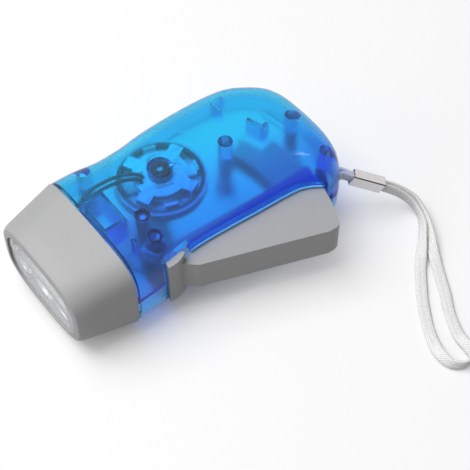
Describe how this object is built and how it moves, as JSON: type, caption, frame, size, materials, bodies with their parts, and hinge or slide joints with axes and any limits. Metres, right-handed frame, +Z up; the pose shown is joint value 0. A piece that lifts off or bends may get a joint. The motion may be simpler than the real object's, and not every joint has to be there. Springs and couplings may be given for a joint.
{
  "type": "hand-press dynamo flashlight",
  "caption": "hand-squeezed dynamo flashlight with clear blue shells, grey head and lever, LED window, visible flywheel dynamo and gears, and a woven wrist strap",
  "frame": {"origin": "on the rest plane under the rotor axis, at the centre of the flat side it lies on", "axes": "+X from head to tail, +Y to the spine, -Y to the squeeze lever, +Z up from the table through the thickness"},
  "size_m": [0.1252, 0.125, 0.035],
  "materials": {
    "blue_shell": "clear blue tint, polished",
    "grey_plastic": "satin moulded",
    "clear_lens": "clear",
    "silvered": "vacuum metallised",
    "led_epoxy": "clear with pale phosphor",
    "circuit_board": "green laminate",
    "black_plastic": "moulded",
    "capacitor_sleeve": "shrink sleeve",
    "red_insulation": "extruded",
    "black_insulation": "extruded",
    "steel": "ground",
    "spring_steel": "drawn wire",
    "sintered_bronze": "oiled",
    "white_nylon": "moulded",
    "pinion_brass": "cut",
    "flywheel_zinc": "die cast",
    "ferrite": "sintered",
    "plated_plate": "zinc plated",
    "natural_nylon": "moulded",
    "copper_wire": "enamelled",
    "woven_tape": "plain weave",
    "crimp_steel": "nickel plated",
    "screw_steel": "zinc plated"
  },
  "bodies": {
    "body": {"lower_shell": "blue_shell", "upper_shell": "blue_shell", "shell_screws": "screw_steel", "head_cap": "grey_plastic", "lens": "clear_lens", "reflector": "silvered", "leds": "led_epoxy", "led_board": "circuit_board", "board_diodes": "black_plastic", "board_capacitor": "capacitor_sleeve", "lead_red": "red_insulation", "lead_black": "black_insulation", "lever_pin": "steel", "return_spring": "spring_steel", "drive_bush": "sintered_bronze", "step_pin": "steel", "lower_bush": "sintered_bronze", "lower_pole_plate": "plated_plate", "upper_pole_plate": "plated_plate", "coil_bobbin": "natural_nylon", "coil_winding": "copper_wire", "stator_bush": "sintered_bronze", "strap_tether": "woven_tape", "strap_crimp": "crimp_steel", "strap_loop": "woven_tape"},
    "lever": {"press_lever": "grey_plastic"},
    "drive": {"drive_gear": "white_nylon", "drive_axle": "steel"},
    "step": {"step_gear": "white_nylon"},
    "rotor": {"rotor_pinion": "pinion_brass", "rotor_shaft": "steel", "flywheel": "flywheel_zinc", "ring_magnet": "ferrite"}
  },
  "joints": [
    {"name": "lever_press", "type": "hinge", "parent": "body", "child": "lever", "pos_m": [-0.0166, -0.0199, 0.0175], "axis": [0, 0, 1], "range_deg": [0, 20], "stiffness_Nm_per_rad": 0.15, "springref_deg": -20.05, "deforming": ["return_spring"]},
    {"name": "drive_spin", "type": "hinge", "parent": "body", "child": "drive", "pos_m": [-0.01542, -0.01189, 0.011], "axis": [0, 0, 1], "range_deg": [-41, 0]},
    {"name": "step_spin", "type": "hinge", "parent": "body", "child": "step", "pos_m": [-0.01223, -0.0041, 0.006], "axis": [0, 0, 1], "range_deg": [0, 90]},
    {"name": "rotor_spin", "type": "hinge", "parent": "body", "child": "rotor", "pos_m": [0, 0, 0.02], "axis": [0, 0, 1], "range_deg": [-340, 0]}
  ],
  "couplings": [
    {"joint": "drive_spin", "follows": "lever_press", "ratio": -2},
    {"joint": "step_spin", "follows": "lever_press", "ratio": 4.4444},
    {"joint": "rotor_spin", "follows": "lever_press", "ratio": -16.79}
  ]
}
